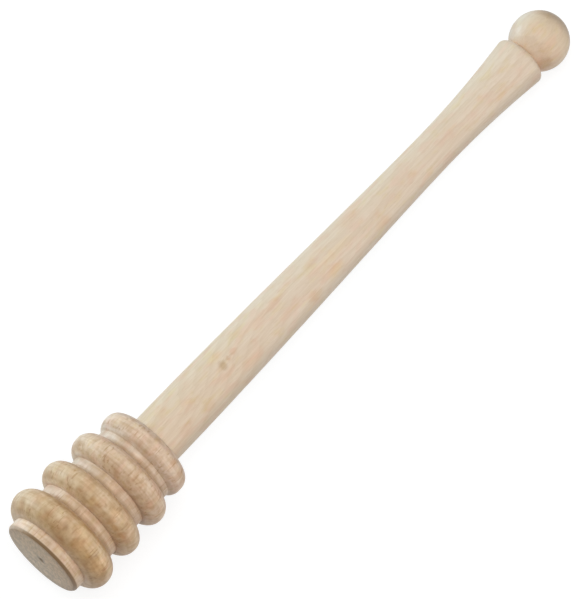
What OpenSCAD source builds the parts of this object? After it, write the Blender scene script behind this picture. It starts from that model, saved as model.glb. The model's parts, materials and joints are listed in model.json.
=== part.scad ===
// Honey dipper in turned beech: a grooved head, a tapering handle with a flared end, and an end ball.
// The handle has a tenon at each end, glued into a blind hole in the head and in the ball.
// It lies on its side on the plane z = 0, on its widest rib and the ball, with the ball towards +X.
// The origin is under the middle of its outline. All lengths are in millimetres.

/* [Head] */
// Diameter of the flat end face
end_face_d = 17.9; // [14:0.1:18.5]
// Diameter of the plain collar behind the end face
collar_d = 18.7; // [18:0.1:21]
// Length of the collar, from the end face to the first rib
collar_l = 2.65; // [1.5:0.05:6]
// Length of the bevel between the end face and the collar
end_bevel_l = 0.5; // [0.2:0.05:1]
// Diameter over the crest of the first rib
rib_1_d = 25.7; // [23:0.1:34]
// Width of the first rib along the axis
rib_1_w = 7.05; // [5:0.05:9]
// Radius of the round edges of the first rib
rib_1_edge_r = 3.5; // [2:0.05:4]
// Diameter over the crest of the second rib
rib_2_d = 24.75; // [22:0.1:34]
// Width of the second rib along the axis
rib_2_w = 5.9; // [4:0.05:9]
// Radius of the round edges of the second rib
rib_2_edge_r = 2.85; // [1.5:0.05:3.5]
// Diameter over the crest of the third rib
rib_3_d = 23.95; // [22:0.1:34]
// Width of the third rib along the axis
rib_3_w = 6; // [4:0.05:9]
// Radius of the round edges of the third rib
rib_3_edge_r = 2.9; // [1.5:0.05:3.5]
// Diameter over the crest of the fourth rib, next to the handle
rib_4_d = 21.1; // [20:0.1:32]
// Width of the fourth rib along the axis
rib_4_w = 5.7; // [4:0.05:9]
// Radius of the round edges of the fourth rib
rib_4_edge_r = 2.55; // [1.5:0.05:3]
// Diameter of the floor of the groove between the first and second ribs
groove_1_d = 19.3; // [16:0.1:21]
// Width of the floor of the groove between the first and second ribs
groove_1_w = 2.3; // [1.4:0.05:5]
// Diameter of the floor of the groove between the second and third ribs
groove_2_d = 18.45; // [16:0.1:21]
// Width of the floor of the groove between the second and third ribs
groove_2_w = 2.45; // [1.4:0.05:5]
// Diameter of the floor of the groove between the third and fourth ribs
groove_3_d = 18.5; // [16:0.1:19.5]
// Width of the floor of the groove between the third and fourth ribs
groove_3_w = 1.5; // [1.2:0.05:5]
// Radius of the fillet where a rib's side stands on a groove floor
rib_foot_r = 0.45; // [0.2:0.05:0.55]
// Diameter of the lathe centre's mark in the end face
centre_mark_d = 1.4; // [0.6:0.1:3]
// Depth of the lathe centre's mark
centre_mark_depth = 0.6; // [0.2:0.1:1.5]

/* [Handle] */
// Diameter where the handle meets the head
neck_d = 11.8; // [10.5:0.1:15]
// Length of the taper, from the head to the waist
taper_l = 87.5; // [50:0.5:140]
// Length of the taper's curve at the neck. The longer it is, the fuller the handle is by the head.
neck_ease_l = 34; // [5:0.5:45]
// Length of the taper's curve at the waist. The longer it is, the slimmer the handle is by the waist.
waist_ease_l = 17; // [5:0.5:45]
// Diameter at the waist, the thinnest place
waist_d = 8.6; // [6.5:0.05:10]
// Length of the curved flare, from the waist to its widest place
flare_l = 26.15; // [15:0.05:40]
// Diameter at the widest place of the flare
flare_d = 11.6; // [10.5:0.1:14]
// Length of the rounded shoulder, from the widest place to the ball
shoulder_l = 1.45; // [0.8:0.05:4]
// Bevel that breaks the handle's edge against the head
neck_bevel = 0.15; // [0.05:0.05:0.5]

/* [Ball] */
// Diameter of the ball
ball_d = 12.9; // [11.5:0.1:18]
// Diameter of the flat on the ball that the handle's shoulder seats on
ball_seat_d = 8.2; // [7.5:0.1:10]

/* [Glued joints] */
// Diameter of the tenon in the head
head_tenon_d = 8; // [5:0.1:9]
// Length of the tenon in the head
head_tenon_l = 22; // [10:0.5:24]
// Diameter of the tenon in the ball
ball_tenon_d = 5; // [3:0.1:6]
// Length of the tenon in the ball
ball_tenon_l = 6; // [3:0.1:6.5]
// Bevel on the end of each tenon
tenon_bevel = 0.6; // [0.2:0.1:1]
// Gap round each tenon, which the glue fills
glue_gap = 0.1; // [0.05:0.01:0.2]
// Thickness of the glue pressed up over the end of each tenon
glue_end_l = 0.4; // [0.1:0.1:0.8]
// Depth of each blind hole beyond the end of its tenon
hole_end_gap = 1; // [0.9:0.1:2]
// Angle of the drill's point at the bottom of each hole
drill_point_angle = 118; // [90:1:150]

/* [Hidden] */
$fn = 96;
ARC_STEPS = 10; // chords in each quarter turn of a rounded edge
TAPER_STEPS = 28; // chords in the curve of the taper
FLARE_STEPS = 18; // chords in the curve of the flare
LEAST_WALL = 0.05; // a rib's wall lower than this is left out, and its edge arc starts on the floor
PAST = 1; // how far a cutting solid runs past the face it cuts

// Places along the axis, measured from the flat end face
rib_1_at = collar_l + rib_1_w / 2;
rib_2_at = rib_1_at + rib_1_w / 2 + groove_1_w + rib_2_w / 2;
rib_3_at = rib_2_at + rib_2_w / 2 + groove_2_w + rib_3_w / 2;
rib_4_at = rib_3_at + rib_3_w / 2 + groove_3_w + rib_4_w / 2;
head_l = rib_4_at + rib_4_w / 2;
waist_at = head_l + taper_l;
flare_at = waist_at + flare_l;
seat_at = flare_at + shoulder_l;
ball_r = ball_d / 2;
ball_at = seat_at + sqrt(ball_r * ball_r - ball_seat_d * ball_seat_d / 4);

// Each rib as [place, width, diameter, edge radius]
RIBS = [
    [rib_1_at, rib_1_w, rib_1_d, rib_1_edge_r],
    [rib_2_at, rib_2_w, rib_2_d, rib_2_edge_r],
    [rib_3_at, rib_3_w, rib_3_d, rib_3_edge_r],
    [rib_4_at, rib_4_w, rib_4_d, rib_4_edge_r]
];

// The edge radius of a rib can't pass half its width
function edge_r(rib) = min(rib[3], rib[1] / 2);

// Lying on the floor, a rib and the ball share one tangent line under them. The centre of the rib's
// edge arc stands rise above the axis line and run from the ball's centre, and drop is the
// difference of the two radii. The rib that leans the axis most is the one that touches the floor.
function lean_on(rib) = let (
        rise = rib[2] / 2 - edge_r(rib),
        run = ball_at - (rib[0] + rib[1] / 2 - edge_r(rib)),
        drop = ball_r - edge_r(rib)
    )
    acos(drop / norm([rise, run])) - atan2(run, rise);
lean = max([for (rib = RIBS) lean_on(rib)]);
axis_height = ball_r + ball_at * sin(lean);
axis_start = (end_face_d / 2 * sin(lean) - ball_at * cos(lean) - ball_r) / 2;

// Lays a piece that was turned about the Z axis, flat end first, on its side
module lay_down() {
    translate([axis_start, 0, axis_height])
        rotate([0, 90 + lean, 0])
            children();
}

// The rounded edge on one side of a rib as [radius, place] points, from the given angle of its arc
// up to the crest. The side is -1 towards the end face and 1 towards the handle.
function rib_edge(rib, first, side) = [for (i = [0 : ARC_STEPS])
    let (a = first + (90 - first) * i / ARC_STEPS, e = edge_r(rib))
    [rib[2] / 2 - e + e * sin(a), rib[0] + side * (rib[1] / 2 - e + e * cos(a))]];

// One side of a rib, from the groove floor up. Where the edge arc's centre lies above the floor, a
// foot fillet and a wall lead up to the arc. Otherwise the arc starts on the floor.
function rib_side(rib, floor_d, side) = let (
        floor_r = floor_d / 2,
        arc_r = rib[2] / 2 - edge_r(rib),
        wall_l = arc_r - floor_r,
        foot = wall_l > LEAST_WALL ? min(rib_foot_r, wall_l / 2) : 0
    )
    concat(
        foot > 0
            ? [for (i = [0 : ARC_STEPS]) let (a = 90 * i / ARC_STEPS)
                [floor_r + foot - foot * cos(a), rib[0] + side * (rib[1] / 2 + foot - foot * sin(a))]]
            : [],
        rib_edge(rib, asin(max(0, -wall_l) / edge_r(rib)), side)
    );

function reversed(points) = [for (i = [len(points) - 1 : -1 : 0]) points[i]];

function rib_outline(rib, floor_before_d, floor_after_d) = concat(
    rib_side(rib, floor_before_d, -1),
    reversed(rib_side(rib, floor_after_d, 1))
);

// The last rib's far side is its back face, which the handle seats on. No foot stands there.
function last_rib_outline(rib, floor_before_d) = concat(
    rib_side(rib, floor_before_d, -1),
    reversed(rib_edge(rib, 0, 1)),
    [[0, head_l]]
);

// A point of the taper, from its foot at the head (u = 0) to the waist (u = 1). It is a cubic curve
// that leaves the neck and meets the waist in line with the axis.
function taper_point(u) = let (
        from = [neck_d / 2, head_l + neck_bevel],
        to = [waist_d / 2, waist_at]
    )
    pow(1 - u, 3) * from
    + 3 * u * pow(1 - u, 2) * (from + [0, neck_ease_l])
    + 3 * u * u * (1 - u) * (to - [0, waist_ease_l])
    + pow(u, 3) * to;

// A tenon as [radius, place] points, from its shoulder at the given place to its bevelled end. The
// way is -1 towards the end face and 1 towards the ball.
function tenon_outline(d, l, at, way) = [
    [d / 2, at],
    [d / 2, at + way * (l - tenon_bevel)],
    [d / 2 - tenon_bevel, at + way * l],
    [0, at + way * l]
];

// The solid that cuts the blind hole for a tenon, down to the cone that the drill's point leaves
module blind_hole(tenon_d, tenon_l, at, way) {
    hole_r = tenon_d / 2 + glue_gap;
    hole_l = tenon_l + hole_end_gap;
    point_l = hole_r / tan(drill_point_angle / 2);
    rotate_extrude()
        polygon([
            [0, at - way * PAST],
            [hole_r, at - way * PAST],
            [hole_r, at + way * hole_l],
            [0, at + way * (hole_l + point_l)]
        ]);
}

// The cured glue round a tenon and over its end
module glue_film(tenon_d, tenon_l, at, way) {
    film_r = tenon_d / 2 + glue_gap;
    film_l = tenon_l + glue_end_l;
    rotate_extrude()
        polygon(concat(
            tenon_outline(tenon_d, tenon_l, at, way),
            [[0, at + way * film_l], [film_r, at + way * film_l], [film_r, at]]
        ));
}

module head() {
    color([0.8, 0.67, 0.51])
        lay_down()
            difference() {
                rotate_extrude()
                    polygon(concat(
                        [[0, 0], [end_face_d / 2, 0], [collar_d / 2, end_bevel_l]],
                        rib_outline(RIBS[0], collar_d, groove_1_d),
                        rib_outline(RIBS[1], groove_1_d, groove_2_d),
                        rib_outline(RIBS[2], groove_2_d, groove_3_d),
                        last_rib_outline(RIBS[3], groove_3_d)
                    ));
                blind_hole(head_tenon_d, head_tenon_l, head_l, -1);
                rotate_extrude()
                    polygon([
                        [0, -PAST],
                        [centre_mark_d / 2, -PAST],
                        [centre_mark_d / 2, 0],
                        [0, centre_mark_depth]
                    ]);
            }
}

module handle() {
    color([0.87, 0.79, 0.7])
        lay_down()
            rotate_extrude()
                polygon(concat(
                    reversed(tenon_outline(head_tenon_d, head_tenon_l, head_l, -1)),
                    [[neck_d / 2 - neck_bevel, head_l]],
                    [for (i = [0 : TAPER_STEPS]) taper_point(i / TAPER_STEPS)],
                    [for (i = [1 : FLARE_STEPS]) let (t = i / FLARE_STEPS)
                        [(waist_d + (flare_d - waist_d) * t * t) / 2, waist_at + flare_l * t]],
                    [for (i = [1 : ARC_STEPS]) let (a = 90 * i / ARC_STEPS)
                        [
                            (ball_seat_d + (flare_d - ball_seat_d) * cos(a)) / 2,
                            flare_at + shoulder_l * sin(a)
                        ]],
                    tenon_outline(ball_tenon_d, ball_tenon_l, seat_at, 1)
                ));
}

module end_ball() {
    color([0.85, 0.77, 0.67])
        lay_down()
            difference() {
                translate([0, 0, ball_at])
                    sphere(d = ball_d);
                translate([0, 0, seat_at - ball_d])
                    cylinder(d = ball_d + PAST, h = ball_d);
                blind_hole(ball_tenon_d, ball_tenon_l, seat_at, 1);
            }
}

module head_glue() {
    color([0.9, 0.86, 0.72])
        lay_down()
            glue_film(head_tenon_d, head_tenon_l, head_l, -1);
}

module ball_glue() {
    color([0.9, 0.86, 0.72])
        lay_down()
            glue_film(ball_tenon_d, ball_tenon_l, seat_at, 1);
}

head();
handle();
end_ball();
head_glue();
ball_glue();
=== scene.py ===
import json
import math

import bmesh
import bpy
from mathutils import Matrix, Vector


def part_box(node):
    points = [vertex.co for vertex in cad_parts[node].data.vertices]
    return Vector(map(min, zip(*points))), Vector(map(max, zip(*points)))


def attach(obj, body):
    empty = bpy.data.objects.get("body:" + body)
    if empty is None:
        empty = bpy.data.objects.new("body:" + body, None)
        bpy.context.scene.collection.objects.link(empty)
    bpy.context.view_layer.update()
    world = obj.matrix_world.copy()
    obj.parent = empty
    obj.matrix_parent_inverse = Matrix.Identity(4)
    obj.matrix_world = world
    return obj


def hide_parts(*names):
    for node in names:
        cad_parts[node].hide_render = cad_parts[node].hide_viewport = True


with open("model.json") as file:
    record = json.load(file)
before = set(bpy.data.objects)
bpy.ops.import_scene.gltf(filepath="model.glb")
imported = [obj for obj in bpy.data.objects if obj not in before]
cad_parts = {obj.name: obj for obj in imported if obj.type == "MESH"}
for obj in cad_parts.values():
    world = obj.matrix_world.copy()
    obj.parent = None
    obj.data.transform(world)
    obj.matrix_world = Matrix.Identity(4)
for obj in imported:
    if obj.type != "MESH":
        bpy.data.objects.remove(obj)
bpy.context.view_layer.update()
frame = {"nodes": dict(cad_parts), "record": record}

# The dipper lies on its widest rib and its ball, so its own axis leans down towards the ball. START
# is the middle of its flat end and ALONG points down the stick. Places along the stick are given in
# millimetres from START, and radii in millimetres from the stick's axis.
MM = 0.001
end_face = next(m for m in frame["record"]["mounts"] if m["name"] == "end_face")
ALONG = -Vector(end_face["axis"]).normalized()
LEAN = math.asin(-ALONG.z)
UP = Vector((math.sin(LEAN), 0, math.cos(LEAN)))
BALL_RADIUS = 6.45
BALL_CENTRE = Vector((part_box("end_ball")[1].x - BALL_RADIUS * MM, 0, BALL_RADIUS * MM))
START = BALL_CENTRE - ALONG * (BALL_CENTRE - Vector(end_face["pos_m"])).dot(ALONG)

# The camera looks down on the dipper from 1.6 m, through a long lens, with the grooved head at the
# lower left and the ball at the upper right. It aims a little beside and below the stick's middle.
CAMERA_TURN = math.radians(-48.15)
CAMERA_RISE = math.radians(72.12)
CAMERA_DISTANCE_M = 1.6
CAMERA_LENS_MM = 467.2
MIDDLE = 80
AIM_LEFT = 2.82
AIM_BELOW = 2.72
back = Vector((
    math.sin(CAMERA_TURN) * math.cos(CAMERA_RISE),
    -math.cos(CAMERA_TURN) * math.cos(CAMERA_RISE),
    math.sin(CAMERA_RISE),
))
right = Vector((math.cos(CAMERA_TURN), math.sin(CAMERA_TURN), 0))
top = back.cross(right)
aim = START + (ALONG * MIDDLE - right * AIM_LEFT - top * AIM_BELOW) * MM
camera_data = bpy.data.cameras.new("camera")
camera_data.lens = CAMERA_LENS_MM
camera_data.sensor_width = 36
camera_data.clip_start = 0.1
camera_data.clip_end = 20
camera = bpy.data.objects.new("camera", camera_data)
camera.location = aim + back * CAMERA_DISTANCE_M
camera.rotation_mode = "QUATERNION"
camera.rotation_quaternion = (-back).to_track_quat("-Z", "Y")
bpy.context.scene.collection.objects.link(camera)
bpy.context.scene.camera = camera
bpy.context.scene.view_settings.view_transform = "Standard"

# The light is that of a small white table-top studio: a dim even surround, one large soft lamp
# right above, and a lower one on each side of the stick. The stronger is at the picture's upper left.
SURROUND_STRENGTH = 0.33
LAMP_DISTANCE_M = 0.9
world = bpy.data.worlds.new("studio")
world.use_nodes = True
world_nodes = world.node_tree.nodes
world_links = world.node_tree.links


def show_instead(nodes, links, lighting, shown, target):
    """Let one shader light the dipper, and show the other wherever the thing itself is seen."""
    ray = nodes.new("ShaderNodeLightPath")
    seen = ray.outputs["Is Camera Ray"]
    for kind in ("Is Glossy Ray", "Is Transmission Ray"):
        either = nodes.new("ShaderNodeMath")
        either.operation = "MAXIMUM"
        links.new(seen, either.inputs[0])
        links.new(ray.outputs[kind], either.inputs[1])
        seen = either.outputs[0]
    choice = nodes.new("ShaderNodeMixShader")
    links.new(seen, choice.inputs["Fac"])
    links.new(lighting, choice.inputs[1])
    links.new(shown, choice.inputs[2])
    links.new(choice.outputs["Shader"], target)


surround = world_nodes["Background"]
surround.inputs["Color"].default_value = (1, 1, 1, 1)
surround.inputs["Strength"].default_value = SURROUND_STRENGTH
seen_white = world_nodes.new("ShaderNodeBackground")
seen_white.inputs["Strength"].default_value = 1
show_instead(
    world_nodes, world_links, surround.outputs["Background"], seen_white.outputs["Background"],
    world_nodes["World Output"].inputs["Surface"],
)
bpy.context.scene.world = world


def soft_lamp(name, direction, size, power, tint=(1, 1, 1)):
    data = bpy.data.lights.new(name, "AREA")
    data.shape = "DISK"
    data.size = size
    data.energy = power
    data.color = tint
    lamp = bpy.data.objects.new(name, data)
    way = Vector(direction).normalized()
    lamp.location = way * LAMP_DISTANCE_M
    lamp.rotation_mode = "QUATERNION"
    lamp.rotation_quaternion = way.to_track_quat("Z", "Y")
    bpy.context.scene.collection.objects.link(lamp)


soft_lamp("top_lamp", (0.0, 0.0, 1.0), 0.8, 4.0)
soft_lamp("left_lamp", (-0.2, 0.95, 0.14), 0.5, 5.7, (0.72, 0.93, 1.0))
soft_lamp("right_lamp", (0.1, -0.92, 0.36), 0.7, 2.4)

# The table is a plain white sheet. The camera sees it as white, with only the dipper's soft shadow
# left on it.
FLOOR_REACH_M = 3
LIT_PAPER = 0.38
SHOWN_PAPER = 0.3
SHOWN_GLOW = 0.8
floor_mesh = bpy.data.meshes.new("floor")
floor_build = bmesh.new()
bmesh.ops.create_grid(floor_build, x_segments=1, y_segments=1, size=FLOOR_REACH_M)
floor_build.to_mesh(floor_mesh)
floor_build.free()
floor = bpy.data.objects.new("floor", floor_mesh)
bpy.context.scene.collection.objects.link(floor)
floor_white = bpy.data.materials.new("floor_white")
floor_white.use_nodes = True
floor_nodes = floor_white.node_tree.nodes
floor_links = floor_white.node_tree.links
floor_nodes.remove(floor_nodes["Principled BSDF"])
paper = floor_nodes.new("ShaderNodeBsdfDiffuse")
paper.inputs["Color"].default_value = (LIT_PAPER, LIT_PAPER, LIT_PAPER, 1)
seen_paper = floor_nodes.new("ShaderNodeBsdfDiffuse")
seen_paper.inputs["Color"].default_value = (SHOWN_PAPER, SHOWN_PAPER, SHOWN_PAPER, 1)
seen_glow = floor_nodes.new("ShaderNodeEmission")
seen_glow.inputs["Strength"].default_value = SHOWN_GLOW
seen_sum = floor_nodes.new("ShaderNodeAddShader")
floor_links.new(seen_paper.outputs["BSDF"], seen_sum.inputs[0])
floor_links.new(seen_glow.outputs["Emission"], seen_sum.inputs[1])
show_instead(
    floor_nodes, floor_links, paper.outputs["BSDF"], seen_sum.outputs["Shader"],
    floor_nodes["Material Output"].inputs["Surface"],
)
floor_mesh.materials.append(floor_white)

# The grooved head is turned in beech and sanded, then left bare: four round-edged ribs on a core, a
# short collar and a flat sawn end with the lathe centre's mark. A blind hole is drilled into its
# back for the handle's tenon.
COLLAR_RADIUS = 9.35
END_RADIUS = 8.95
HEAD_LENGTH = 33.55
RIBS = [
    {"at": 6.175, "width": 7.05, "radius": 12.845, "edge": 3.5},
    {"at": 14.95, "width": 5.9, "radius": 12.375, "edge": 2.85},
    {"at": 23.35, "width": 6.0, "radius": 11.975, "edge": 2.9},
    {"at": 30.7, "width": 5.7, "radius": 10.55, "edge": 2.55},
]
GROOVE_RADII = [9.65, 9.225, 9.25]
RIB_FOOT = 0.45
CENTRE_DEPTH = 0.6
CENTRE_RADIUS = 0.78
HEAD_HOLE_RADIUS = 4.1
HEAD_HOLE_DEPTH = 23
DRILL_SLOPE = math.tan(math.radians(59))
BACK_RING_RADIUS = 6.2
EDGE_STEPS = 16
FOOT_STEPS = 8
FACE_RINGS = 8
HEAD_AROUND = 192
SHARP_EDGE = math.radians(32)
SANDED_BEYOND = 8.5
SANDED_WAVE = 0.02
SANDED_RIPPLE = 0.01
FIBRE_RELIEF_M = 0.00005
MARK_FULL_TO = 0.3
MARK_GONE_AT = 1.1


def on_stick(place, radius, angle):
    side = UP * math.cos(angle) + Vector((0, 1, 0)) * math.sin(angle)
    return START + (ALONG * place + side * radius) * MM


def turned(name, outline, around, wear=None):
    """A solid turned about the stick's axis, from (place, radius) points that start and end on it."""
    build = bmesh.new()
    rings = []
    for place, radius in outline:
        count = 1 if radius < 1e-6 else around
        ring = []
        for k in range(count):
            angle = 2 * math.pi * k / around
            less = wear(place, radius, angle) if wear and count > 1 else 0
            ring.append(build.verts.new(on_stick(place, radius - less, angle)))
        rings.append(ring)
    for one, two in zip(rings, rings[1:]):
        for k in range(around):
            corners = [one[k % len(one)], one[(k + 1) % len(one)]]
            corners += [two[(k + 1) % len(two)], two[k % len(two)]]
            build.faces.new(list(dict.fromkeys(corners)))
    bmesh.ops.recalc_face_normals(build, faces=build.faces)
    mesh = bpy.data.meshes.new(name)
    build.to_mesh(mesh)
    build.free()
    mesh.shade_smooth()
    mesh.set_sharp_from_angle(angle=SHARP_EDGE)
    piece = bpy.data.objects.new(name, mesh)
    bpy.context.scene.collection.objects.link(piece)
    return piece


def rib_edge(rib, side, first=0.0):
    edge = rib["edge"]
    points = []
    for i in range(EDGE_STEPS + 1):
        a = first + (math.pi / 2 - first) * i / EDGE_STEPS
        place = rib["at"] + side * (rib["width"] / 2 - edge + edge * math.cos(a))
        points.append((place, rib["radius"] - edge + edge * math.sin(a)))
    return points


def rib_side(rib, floor_radius, side):
    wall = rib["radius"] - rib["edge"] - floor_radius
    if wall < 0.05:
        return rib_edge(rib, side, math.asin(max(0.0, -wall) / rib["edge"]))
    foot = min(RIB_FOOT, wall / 2)
    points = []
    for i in range(FOOT_STEPS + 1):
        a = math.pi / 2 * i / FOOT_STEPS
        place = rib["at"] + side * (rib["width"] / 2 + foot - foot * math.sin(a))
        points.append((place, floor_radius + foot - foot * math.cos(a)))
    return points + rib_edge(rib, side)


def head_outline():
    points = [(CENTRE_DEPTH, 0), (0.12, 0.56), (0, CENTRE_RADIUS)]
    points += [(0, END_RADIUS * k / FACE_RINGS) for k in range(1, FACE_RINGS)]
    points += [(0, END_RADIUS - 0.12), (0.04, END_RADIUS - 0.03), (0.12, END_RADIUS + 0.06)]
    points += [(0.38, COLLAR_RADIUS - 0.1), (0.5, COLLAR_RADIUS - 0.03), (0.66, COLLAR_RADIUS)]
    points += [(1.2, COLLAR_RADIUS), (1.7, COLLAR_RADIUS)]
    floors = [COLLAR_RADIUS] + GROOVE_RADII
    for number, rib in enumerate(RIBS):
        points += rib_side(rib, floors[number], -1)
        if number < len(GROOVE_RADII):
            points += reversed(rib_side(rib, floors[number + 1], 1))
        else:
            points += reversed(rib_edge(rib, 1))
    hole_end = HEAD_LENGTH - HEAD_HOLE_DEPTH
    points += [(HEAD_LENGTH, BACK_RING_RADIUS), (HEAD_LENGTH, HEAD_HOLE_RADIUS)]
    points += [(hole_end, HEAD_HOLE_RADIUS), (hole_end - HEAD_HOLE_RADIUS / DRILL_SLOPE, 0)]
    return points


def head_wear(place, radius, angle):
    """Hand-held sanding leaves the ribs a few hundredths of a millimetre out of round."""
    if radius < SANDED_BEYOND:
        return 0
    wave = SANDED_WAVE * (1 + math.sin(3 * angle + place))
    return wave + SANDED_RIPPLE * (1 + math.sin(7 * angle - 2 * place))


class Finish:
    """One material, built node by node."""

    def __init__(self, name):
        self.material = bpy.data.materials.new(name)
        self.material.use_nodes = True
        self.nodes = self.material.node_tree.nodes
        self.links = self.material.node_tree.links
        self.shader = self.nodes["Principled BSDF"]

    def join(self, value, socket):
        if isinstance(value, bpy.types.NodeSocket):
            self.links.new(value, socket)
        else:
            socket.default_value = value

    def calc(self, operation, *values):
        node = self.nodes.new("ShaderNodeMath")
        node.operation = operation
        for value, socket in zip(values, node.inputs):
            self.join(value, socket)
        return node.outputs[0]

    def product(self, first, *others):
        for other in others:
            first = self.calc("MULTIPLY", first, other)
        return first

    def vector(self, operation, *values):
        node = self.nodes.new("ShaderNodeVectorMath")
        node.operation = operation
        for value, socket in zip(values, node.inputs):
            self.join(value, socket)
        return node.outputs["Value"] if operation in ("LENGTH", "DOT_PRODUCT") else node.outputs[0]

    def spread(self, value, low, high, to_low=0.0, to_high=1.0):
        node = self.nodes.new("ShaderNodeMapRange")
        node.interpolation_type = "SMOOTHSTEP"
        for given, socket in zip((value, low, high, to_low, to_high), node.inputs):
            self.join(given, socket)
        return node.outputs[0]

    def noise(self, vector, stretch, detail, roughness, offset=(0, 0, 0)):
        place = self.vector("MULTIPLY_ADD", vector, stretch, offset)
        node = self.nodes.new("ShaderNodeTexNoise")
        node.inputs["Scale"].default_value = 1
        node.inputs["Detail"].default_value = detail
        node.inputs["Roughness"].default_value = roughness
        self.links.new(place, node.inputs["Vector"])
        return node.outputs["Fac"]

    def blend(self, amount, one, two, way="MIX"):
        node = self.nodes.new("ShaderNodeMix")
        node.data_type = "RGBA"
        node.blend_type = way
        for given, name in ((amount, "Factor_Float"), (one, "A_Color"), (two, "B_Color")):
            socket = next(s for s in node.inputs if s.identifier == name)
            self.join(given, socket)
        return next(s for s in node.outputs if s.identifier == "Result_Color")

    def tint(self, amount, tone, shade):
        return self.blend(amount, tone, shade, "MULTIPLY")

    def parts(self, vector):
        node = self.nodes.new("ShaderNodeSeparateXYZ")
        self.links.new(vector, node.inputs[0])
        return node.outputs


def colour(red, green, blue):
    """A colour as a screen shows it, from 0 to 255, in the linear values that nodes take."""
    linear = [v / 12.92 if v <= 0.04045 else ((v + 0.055) / 1.055) ** 2.4
              for v in (red / 255, green / 255, blue / 255)]
    return (*linear, 1)


def stick_place(finish):
    """Millimetres along, across and up from the middle of the dipper's flat end."""
    coordinates = finish.nodes.new("ShaderNodeTexCoord")
    mapping = finish.nodes.new("ShaderNodeMapping")
    mapping.inputs["Scale"].default_value = (1000, 1000, 1000)
    mapping.inputs["Rotation"].default_value = (0, -LEAN, 0)
    offset = -START * 1000
    mapping.inputs["Location"].default_value = (offset.dot(ALONG), offset.y, offset.dot(UP))
    finish.links.new(coordinates.outputs["Object"], mapping.inputs["Vector"])
    return mapping.outputs["Vector"]


def facing(finish, way):
    """How squarely the surface faces a way: 1 when it faces it, -1 when it faces away."""
    geometry = finish.nodes.new("ShaderNodeNewGeometry")
    return finish.vector("DOT_PRODUCT", geometry.outputs["Normal"], tuple(way))


def marked(finish, tone, ragged, marks, radius_at):
    """Soft blotches, each by its place, degrees round from the top, reach, tint and strength."""
    for place, degrees, (reach_along, reach_round), shade, strength in marks:
        angle = math.radians(degrees)
        radius = radius_at(place)
        spot = (place, radius * math.sin(angle), radius * math.cos(angle))
        off = finish.vector("SUBTRACT", ragged, spot)
        off = finish.vector("DIVIDE", off, (reach_along, reach_round, reach_round))
        far = finish.vector("LENGTH", off)
        amount = finish.spread(far, MARK_FULL_TO, MARK_GONE_AT, strength, 0.0)
        tone = finish.tint(amount, tone, colour(*shade))
    return tone


def frayed(finish, place, stretch, detail, roughness, offset, reach):
    """The place, shifted to and fro by up to half a reach, so that blotches get ragged edges."""
    shift = finish.noise(place, stretch, detail, roughness, offset)
    place = finish.vector("MULTIPLY_ADD", shift, reach, place)
    return finish.vector("SUBTRACT", place, tuple(part / 2 for part in reach))


def beech(name, pale, dark, ring_way, drift, seed, figure):
    """Bare sanded beech: soft yearly rings, long fibres, short ray flecks and faint blotches."""
    finish = Finish(name)
    place = stick_place(finish)
    along = finish.parts(place)[0]
    ring_spacing = 2.1
    ring_wander = 3.2
    ring = finish.vector("DOT_PRODUCT", place, (0, *ring_way))
    ring = finish.calc("ADD", ring, finish.spread(along, *drift))
    wander = finish.noise(place, (0.03, 0.15, 0.15), 3, 0.5, (seed, 0, 0))
    year = finish.calc("DIVIDE", ring, ring_spacing)
    year = finish.calc("FRACT", finish.calc("MULTIPLY_ADD", wander, ring_wander, year))
    band = finish.product(finish.spread(year, 0.3, 0.92), finish.spread(year, 0.92, 1.0, 1.0, 0.0))
    fibre = finish.noise(place, (0.1, 2.6, 2.6), 4, 0.6, (seed, 3, 7))
    fleck = finish.spread(finish.noise(place, (0.6, 3.6, 3.6), 1, 0.4, (seed, 11, 5)), 0.6, 0.72)
    tone = finish.blend(finish.product(band, 0.22 * figure), pale, dark)
    tone = finish.blend(finish.spread(fibre, 0.35, 0.7, 0.0, 0.35 * figure), tone, dark)
    tone = finish.blend(finish.product(fleck, 0.3 * figure), tone, dark)
    pink = finish.spread(finish.noise(place, (0.22, 0.5, 0.5), 2, 0.5, (seed, 23, 2)), 0.45, 0.7)
    tone = finish.tint(finish.product(pink, 0.6), tone, colour(255, 240, 236))
    gold = finish.spread(finish.noise(place, (0.3, 0.7, 0.7), 2, 0.5, (seed, 2, 31)), 0.5, 0.75)
    tone = finish.tint(finish.product(gold, 0.7), tone, colour(252, 250, 228))
    bump = finish.nodes.new("ShaderNodeBump")
    bump.inputs["Strength"].default_value = 0.35
    bump.inputs["Distance"].default_value = FIBRE_RELIEF_M
    finish.links.new(fibre, bump.inputs["Height"])
    finish.links.new(bump.outputs["Normal"], finish.shader.inputs["Normal"])
    finish.shader.inputs["Sheen Weight"].default_value = 0.1
    finish.shader.inputs["Sheen Roughness"].default_value = 0.4
    rough = finish.spread(fibre, 0.3, 0.7, 0.42, 0.54)
    finish.links.new(rough, finish.shader.inputs["Roughness"])
    return finish, place, tone


head = turned("turned_head", head_outline(), HEAD_AROUND, head_wear)
wood, place, tone = beech(
    "head_beech", pale=colour(233, 210, 186), dark=colour(196, 165, 133),
    ring_way=(0.8, 0.6), drift=(0, 34, 0, 0.5), seed=4.0, figure=0.4,
)
along, across, up = wood.parts(place)
radius = wood.vector("LENGTH", wood.vector("MULTIPLY", place, (0, 1, 1)))
end_way = wood.calc("MULTIPLY", facing(wood, ALONG), -1)
left_way = facing(wood, (0, 1, 0))
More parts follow.
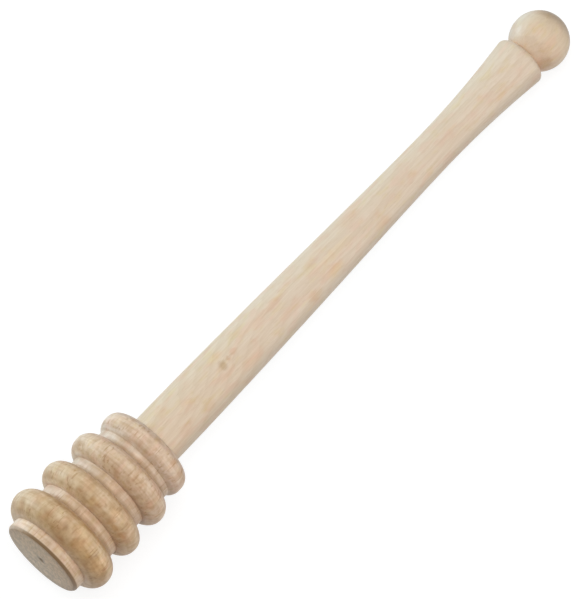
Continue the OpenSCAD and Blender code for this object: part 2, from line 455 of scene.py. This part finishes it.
# The core and collar are painted paler and greyer on their left and the ribs paler and bluer there,
# as painted light from that side. The ribs go from golden at the flat end to pinker towards the
# handle.
second_core = wood.spread(along, 12, 17)
third_core = wood.spread(along, 21, 26)
core_mid = wood.blend(second_core, colour(238, 234, 226), colour(236, 233, 230))
core_mid = wood.blend(third_core, core_mid, colour(237, 236, 236))
core_left_light = wood.blend(second_core, colour(253, 256, 268), colour(247, 256, 269))
core_left_light = wood.blend(third_core, core_left_light, colour(248, 255, 267))
left_light = wood.spread(left_way, 0.1, 0.7)
core_tint = wood.blend(left_light, core_mid, core_left_light)
collar_tint = wood.blend(left_light, colour(239, 236, 232), colour(263, 266, 274))
core_tint = wood.blend(wood.spread(along, 2.2, 2.8), collar_tint, core_tint)
rib_tint = wood.blend(wood.spread(along, 12, 31), colour(242, 236, 219), colour(255, 254, 254))
rib_left_light = wood.blend(wood.spread(left_way, 0.65, 0.97), colour(255, 255, 255), colour(266, 273, 288))
rib_tint = wood.tint(1.0, rib_tint, rib_left_light)
head_tint = wood.blend(wood.spread(radius, 9.75, 10.6), core_tint, rib_tint)
tone = wood.tint(1.0, tone, head_tint)
# The flanks of the ribs cut across the fibres, which drink more and go browner, most of all near the
# flat end. Their browning is painted heavier on the right and lighter on the left, as shade and light,
# and the backs' browning by each rib's outline is partly painted shade. The steep foot of a flank is
# painted paler, most of all on the left, to lift the shade that falls there.
flank = wood.blend(wood.spread(along, 7, 14), colour(221, 208, 188), colour(239, 234, 229))
flank = wood.blend(wood.spread(along, 18, 23), flank, colour(241, 236, 235))
mottle = wood.noise(place, (0.3, 0.4, 0.4), 1, 0.4, (4, 40, 9))
uneven = wood.calc("MULTIPLY_ADD", wood.calc("SUBTRACT", mottle, 0.5), 0.8, end_way)
front = wood.product(
    wood.spread(uneven, -0.14, 0.5), wood.spread(end_way, 0.8, 1.0, 1.0, 0.1),
    wood.spread(across, 1, 8, 1.0, 0.5),
)
# Painted shade: the flanks brown further on the right side.
right_shade = wood.spread(left_way, -0.6, -0.95)
front = wood.calc("MULTIPLY_ADD", wood.product(front, right_shade), 0.6, front)
rear_from = wood.spread(along, 8, 12, -0.5, -0.35)
rear = wood.spread(uneven, rear_from, wood.calc("ADD", rear_from, -0.33), 0.0, 1.2)
browned_and_shaded = wood.product(
    wood.calc("ADD", front, rear), wood.spread(mottle, 0.35, 0.62, 0.9, 1.3),
    wood.spread(radius, 9.5, 10.2),
)
tone = wood.tint(browned_and_shaded, tone, flank)
# Painted light: the feet of the later ribs' flanks are lifted paler.
foot = wood.product(wood.spread(end_way, 0.72, 0.98), wood.spread(along, 11.4, 11.9))
foot_light_tint = wood.blend(wood.spread(across, -3, 6), colour(262, 263, 264), colour(277, 284, 294))
tone = wood.tint(foot, tone, foot_light_tint)
# Painted shade darkens each groove by the back of the first three ribs, and a little before the middle
# two.
for rib in RIBS[:3]:
    corner = rib["at"] + rib["width"] / 2
    corner_shade = wood.product(
        wood.spread(along, corner - 0.9, corner - 0.4),
        wood.spread(along, corner + 0.2, corner + 1.1, 1.0, 0.0),
        wood.spread(radius, 10.1, 11.0, 1.0, 0.0), wood.spread(across, 4.5, 8.0, 1.0, 0.0),
    )
    tone = wood.tint(corner_shade, tone, colour(220, 209, 194))
for rib in RIBS[1:3]:
    corner = rib["at"] - rib["width"] / 2
    corner_shade = wood.product(
        wood.spread(along, corner - 1.5, corner - 0.2),
        wood.spread(along, corner, corner + 0.4, 1.0, 0.0),
        wood.spread(radius, 9.7, 10.1, 1.0, 0.0),
    )
    tone = wood.tint(corner_shade, tone, colour(246, 241, 234))
# The figure: fine pores, soft clouds and patches of dark hairlines along the grain, all calmer on the
# core, and the faint marks that the turning tool left round the head.
calm = wood.spread(radius, 9.7, 10.3, 0.8, 1.0)
pores = wood.spread(wood.noise(place, (1.0, 1.4, 1.4), 1, 0.5, (0, 5, 17)), 0.45, 0.75, 0.0, 0.4)
tone = wood.tint(wood.product(pores, calm), tone, colour(226, 212, 190))
cloud = wood.noise(place, (0.42, 0.55, 0.55), 1, 0.4, (31, 5, 2))
cloud = wood.product(wood.spread(cloud, 0.38, 0.68, 0.0, 0.65), calm)
tone = wood.tint(cloud, tone, colour(230, 218, 200))
hairline = wood.spread(wood.noise(place, (0.16, 2.0, 2.0), 1, 0.5, (9, 1, 4)), 0.56, 0.7, 0.0, 0.7)
patchy = wood.spread(wood.noise(place, (0.15, 0.3, 0.3), 1, 0.4, (2, 6, 13)), 0.42, 0.6)
tone = wood.tint(wood.product(hairline, calm, patchy), tone, colour(216, 194, 166))
turning = wood.noise(place, (1.7, 0.12, 0.12), 1, 0.5, (5, 12, 3))
tone = wood.tint(wood.spread(turning, 0.4, 0.68, 0.0, 0.6), tone, colour(236, 226, 212))
# Blotches that the sanded ribs show: browner on the flanks, lighter or darker on the crests.
BROWN = (222, 194, 152)
DUSKY = (238, 230, 214)
ROSY = (246, 226, 212)
PALE = (270, 268, 264)
GOLD = (262, 258, 232)
RIB_MARKS = [
    (2.5, -16, (1.2, 3.2), BROWN, 1.0),
    (2.7, 0, (1.2, 2.6), BROWN, 0.6),
    (6.0, -12, (1.8, 2.0), DUSKY, 0.8),
    (7.2, -21, (1.3, 2.4), GOLD, 0.4),
    (5.4, -31, (2.4, 3.2), PALE, 1.0),
    (2.8, -50, (1.2, 2.2), ROSY, 0.6),
    (5.6, -60, (2.6, 3.2), (282, 280, 276), 1.0),
    (13.2, -9, (1.7, 1.7), (242, 228, 196), 0.8),
    (12.6, 2, (0.9, 0.9), (222, 200, 174), 0.8),
    (13.4, 8, (0.5, 0.9), (230, 210, 184), 0.7),
    (14.6, -20, (0.45, 0.6), (204, 174, 140), 0.9),
    (14.8, -33, (1.5, 1.8), PALE, 1.0),
    (15.0, 4, (1.6, 3.4), DUSKY, 0.6),
    (15.0, -46, (1.4, 1.8), DUSKY, 0.6),
    (13.1, -28, (0.9, 1.6), DUSKY, 0.8),
    (13.0, -45, (1.0, 1.6), (236, 214, 178), 0.8),
    (13.0, -58, (1.2, 1.8), (236, 208, 170), 0.8),
    (21.2, 2, (1.1, 3.0), DUSKY, 0.7),
    (20.7, -9, (0.4, 0.9), (220, 196, 168), 0.9),
    (23.4, 6, (1.6, 2.0), DUSKY, 0.6),
    (22.8, -13, (1.4, 1.4), DUSKY, 0.6),
    (23.0, -30, (1.6, 2.2), DUSKY, 0.5),
    (21.6, -58, (1.5, 1.8), ROSY, 0.8),
    (29.2, -7, (1.1, 1.4), (244, 244, 234), 0.5),
    (28.8, -19, (0.5, 0.6), (236, 220, 180), 0.8),
    (30.4, 12, (1.2, 1.6), (246, 238, 234), 0.6),
    (30.6, -14, (1.2, 1.6), DUSKY, 0.4),
    (28.0, -45, (1.0, 1.6), DUSKY, 0.8),
]
CORE_MARKS = [
    (10.6, -2, (1.2, 1.6), DUSKY, 0.5),
    (19.1, -12, (1.1, 1.8), (272, 272, 272), 0.8),
    (27.2, -11, (1.0, 1.8), (276, 278, 280), 0.9),
]


def rib_mark_radius(place):
    if place < 9:
        return 12.4
    return 12 if place < 26 else 10.4


def core_mark_radius(place):
    return 9.3


ragged = frayed(wood, place, (0.6, 0.6, 0.6), 1, 0.5, (5, 2, 8), (1.6, 2.0, 2.0))
tone = marked(wood, tone, ragged, RIB_MARKS, rib_mark_radius)
tone = marked(wood, tone, ragged, CORE_MARKS, core_mark_radius)
# The sawn end is a little greyer and streaked, with a darker broken edge and the centre's mark.
sawn = wood.product(wood.spread(along, 0.02, 0.1, 1.0, 0.0), wood.spread(end_way, 0.7, 0.95))
streak = wood.noise(place, (1, 0.25, 1.1), 2, 0.5, (3, 8, 1))
sawn_tone = wood.blend(wood.spread(streak, 0.35, 0.65), colour(216, 191, 159), colour(202, 178, 147))
scratch = wood.noise(place, (1, 1.1, 0.6), 3, 0.6, (6, 3, 2))
sawn_tone = wood.tint(wood.spread(scratch, 0.38, 0.62), sawn_tone, colour(222, 221, 220))
sawn_tone = wood.tint(wood.spread(up, -7, 5), sawn_tone, colour(243, 231, 209))
sawn_tone = wood.tint(wood.spread(across, 2, -6), sawn_tone, colour(250, 243, 236))
tone = wood.blend(sawn, tone, sawn_tone)
# Painted shade: the face darkens towards its rim.
tone = wood.tint(wood.product(sawn, wood.spread(radius, 6.6, 8.6)), tone, colour(236, 228, 222))
broken = wood.product(
    wood.spread(along, 0.46, 0.74, 1.0, 0.0), wood.spread(radius, 8.58, 8.94),
    wood.spread(across, 2, 7.5, 1.0, 0.45),
)
tone = wood.blend(broken, tone, colour(128, 98, 64))
centre = wood.product(
    wood.spread(radius, 0.5, 1.6, 0.8, 0.0), wood.spread(along, 0.7, 0.9, 1.0, 0.0)
)
tone = wood.blend(centre, tone, colour(122, 100, 78))
wood.links.new(tone, wood.shader.inputs["Base Color"])
head.data.materials.append(wood.material)
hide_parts("head")
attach(head, "root")

# The handle is one long-grained beech stick, turned to a full taper that thins to a waist and then
# flares to a rounded shoulder. Tenons on both ends are glued into the head and the ball.
NECK_RADIUS = 5.9
NECK_EASE = 34
NECK_BREAK = 0.15
WAIST = 121.05
WAIST_RADIUS = 4.3
WAIST_EASE = 17
FLARE = 147.2
FLARE_RADIUS = 5.8
SEAT = 148.65
SEAT_RADIUS = 4.1
HEAD_TENON_END = 11.55
HEAD_TENON_RADIUS = 4
BALL_TENON_LENGTH = 6
BALL_TENON_RADIUS = 2.5
TENON_BEVEL = 0.6
TAPER_STEPS = 56
FLARE_STEPS = 36
SHOULDER_STEPS = 16
HANDLE_AROUND = 128
TAPER_FROM = 33.5
TAPER_SLOPE = 0.018


def handle_outline():
    points = [(HEAD_TENON_END, 0), (HEAD_TENON_END, HEAD_TENON_RADIUS - TENON_BEVEL)]
    points += [(HEAD_TENON_END + TENON_BEVEL, HEAD_TENON_RADIUS), (HEAD_LENGTH, HEAD_TENON_RADIUS)]
    neck = HEAD_LENGTH + NECK_BREAK
    third = NECK_BREAK / 3
    points += [(HEAD_LENGTH, NECK_RADIUS - NECK_BREAK), (HEAD_LENGTH + third, NECK_RADIUS - third)]
    for i in range(TAPER_STEPS + 1):
        t = i / TAPER_STEPS
        one, two, three, four = (1 - t) ** 3, 3 * t * (1 - t) ** 2, 3 * t * t * (1 - t), t ** 3
        points.append((
            one * neck + two * (neck + NECK_EASE) + three * (WAIST - WAIST_EASE) + four * WAIST,
            (one + two) * NECK_RADIUS + (three + four) * WAIST_RADIUS,
        ))
    for i in range(1, FLARE_STEPS + 1):
        t = i / FLARE_STEPS
        points.append((
            WAIST + (FLARE - WAIST) * t, WAIST_RADIUS + (FLARE_RADIUS - WAIST_RADIUS) * t * t
        ))
    for i in range(1, SHOULDER_STEPS + 1):
        a = math.pi / 2 * i / SHOULDER_STEPS
        points.append((
            FLARE + (SEAT - FLARE) * math.sin(a),
            SEAT_RADIUS + (FLARE_RADIUS - SEAT_RADIUS) * math.cos(a),
        ))
    tip = SEAT + BALL_TENON_LENGTH
    points += [(SEAT, BALL_TENON_RADIUS), (tip - TENON_BEVEL, BALL_TENON_RADIUS)]
    return points + [(tip, BALL_TENON_RADIUS - TENON_BEVEL), (tip, 0)]


handle = turned("turned_handle", handle_outline(), HANDLE_AROUND)
wood, place, tone = beech(
    "handle_beech", pale=colour(224, 205, 181), dark=colour(206, 182, 152),
    ring_way=(1.0, 0.25), drift=(30, 78, 0, -13), seed=9.0, figure=1.15,
)
# The stick is a touch cooler beyond its first third, and painted a touch darker, as shade, on the
# side that lies to the right.
along = wood.parts(place)[0]
stick_tint = wood.blend(wood.spread(along, 45, 75), colour(255, 253, 252), colour(258, 258, 261))
tone = wood.tint(1.0, tone, stick_tint)
right_side_shade = wood.spread(facing(wood, (0, -1, 0)), 0.7, 0.95)
tone = wood.tint(right_side_shade, tone, colour(247, 248, 248))
# A pin knot, with the rosy and golden patches that the fibres round it and further up have taken.
HANDLE_MARKS = [
    (54.4, -5, (1.1, 1.5), (210, 188, 154), 0.55),
    (56.3, -3, (0.7, 0.7), (238, 218, 200), 0.7),
    (58.0, 0, (1.4, 0.9), ROSY, 0.6),
    (54.5, 20, (2.6, 1.3), GOLD, 0.4),
    (46.5, -44, (2.2, 1.6), (244, 226, 204), 0.45),
    (59.5, -44, (4.0, 1.8), (255, 238, 226), 0.55),
    (79.0, -50, (2.6, 1.4), (242, 226, 200), 0.5),
    (86.0, -40, (3.0, 1.2), (255, 244, 222), 0.8),
    (83.5, 14, (2.4, 1.2), (252, 244, 244), 0.9),
    (70.5, 10, (6.0, 1.1), ROSY, 0.35),
    (96.0, 25, (4.0, 1.5), ROSY, 0.4),
    (100.5, -48, (3.0, 1.4), (252, 236, 214), 0.5),
    (88.0, -8, (7.0, 1.2), GOLD, 0.35),
    (38.5, 18, (2.0, 1.6), (255, 248, 236), 0.6),
    (40.0, -38, (3.0, 1.2), ROSY, 0.4),
]


def handle_radius(place):
    return NECK_RADIUS - TAPER_SLOPE * (place - TAPER_FROM)


ragged = frayed(wood, place, (0.7, 1.6, 1.6), 3, 0.6, (7, 2, 8), (1.2, 0.9, 0.9))
tone = marked(wood, tone, ragged, HANDLE_MARKS, handle_radius)
wood.links.new(tone, wood.shader.inputs["Base Color"])
handle.data.materials.append(wood.material)
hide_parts("handle")
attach(handle, "root")

# The end ball is a small turned beech ball with a flat seat, drilled and glued on the handle's
# thinner tenon against the shoulder.
BALL_HOLE_RADIUS = 2.6
BALL_HOLE_DEPTH = 7
BALL_PLACE = SEAT + math.sqrt(BALL_RADIUS ** 2 - SEAT_RADIUS ** 2)
BALL_SANDED = BALL_RADIUS - 0.005
BALL_STEPS = 56
BALL_AROUND = 96


def ball_outline():
    hole_end = SEAT + BALL_HOLE_DEPTH
    points = [(hole_end + BALL_HOLE_RADIUS / DRILL_SLOPE, 0), (hole_end, BALL_HOLE_RADIUS)]
    points += [(SEAT, BALL_HOLE_RADIUS), (SEAT, SEAT_RADIUS - 0.1)]
    first = math.asin(SEAT_RADIUS / BALL_SANDED)
    for i in range(BALL_STEPS + 1):
        a = first + (math.pi - first) * i / BALL_STEPS
        radius = BALL_SANDED * math.sin(a) if i < BALL_STEPS else 0
        points.append((BALL_PLACE - BALL_SANDED * math.cos(a), radius))
    return points


ball = turned("turned_ball", ball_outline(), BALL_AROUND)
wood, place, tone = beech(
    "ball_beech", pale=colour(226, 204, 176), dark=colour(196, 168, 134),
    ring_way=(0.5, 0.86), drift=(140, 170, 0, 0.4), seed=15.0, figure=0.6,
)
# Its far end shows darker end grain, partly painted shade at its far rim; its seat's side is painted
# a touch darker and rosier, as shade by the shoulder; and its left is painted paler and bluer, as
# light.
ball_end = facing(wood, ALONG)
ball_left_light = facing(wood, (0, 1, 0))
tone = wood.blend(wood.spread(ball_end, 0.42, 0.88, 0.0, 0.9), tone, colour(170, 146, 118))
tone = wood.tint(wood.spread(ball_end, 0.1, -0.5), tone, colour(246, 241, 242))
tone = wood.tint(wood.spread(ball_left_light, 0.3, 0.95), tone, colour(257, 268, 284))
# By the seat, the bluish-pale mark on the left is painted light and the darker one on the right is
# painted shade; the other two are blotches.
BALL_MARKS = [
    (150.0, -66, (1.8, 2.4), (228, 216, 199), 0.7),
    (151.4, -36, (1.8, 2.2), (252, 242, 230), 0.6),
    (150.6, 46, (1.8, 2.2), (264, 269, 276), 0.6),
    (157.8, 26, (2.0, 2.8), (234, 223, 210), 0.7),
]


def ball_radius(place):
    return math.sqrt(BALL_RADIUS ** 2 - (place - BALL_PLACE) ** 2)


ragged = frayed(wood, place, (0.9, 0.9, 0.9), 3, 0.6, (1, 4, 3), (1.4, 1.4, 1.4))
tone = marked(wood, tone, ragged, BALL_MARKS, ball_radius)
wood.links.new(tone, wood.shader.inputs["Base Color"])
ball.data.materials.append(wood.material)
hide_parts("end_ball")
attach(ball, "root")

# A film of wood glue, pressed thin, fills the gap round each tenon and over its end. Nothing of it
# shows once the dipper is together.
glue = Finish("cured_glue")
cloud = glue.noise(stick_place(glue), (0.8, 0.8, 0.8), 3, 0.6)
glue.links.new(
    glue.blend(cloud, colour(226, 214, 180), colour(206, 188, 148)), glue.shader.inputs["Base Color"]
)
glue.shader.inputs["Roughness"].default_value = 0.35
for name in ("head_glue", "ball_glue"):
    film = frame["nodes"][name]
    film.data.materials.clear()
    film.data.materials.append(glue.material)
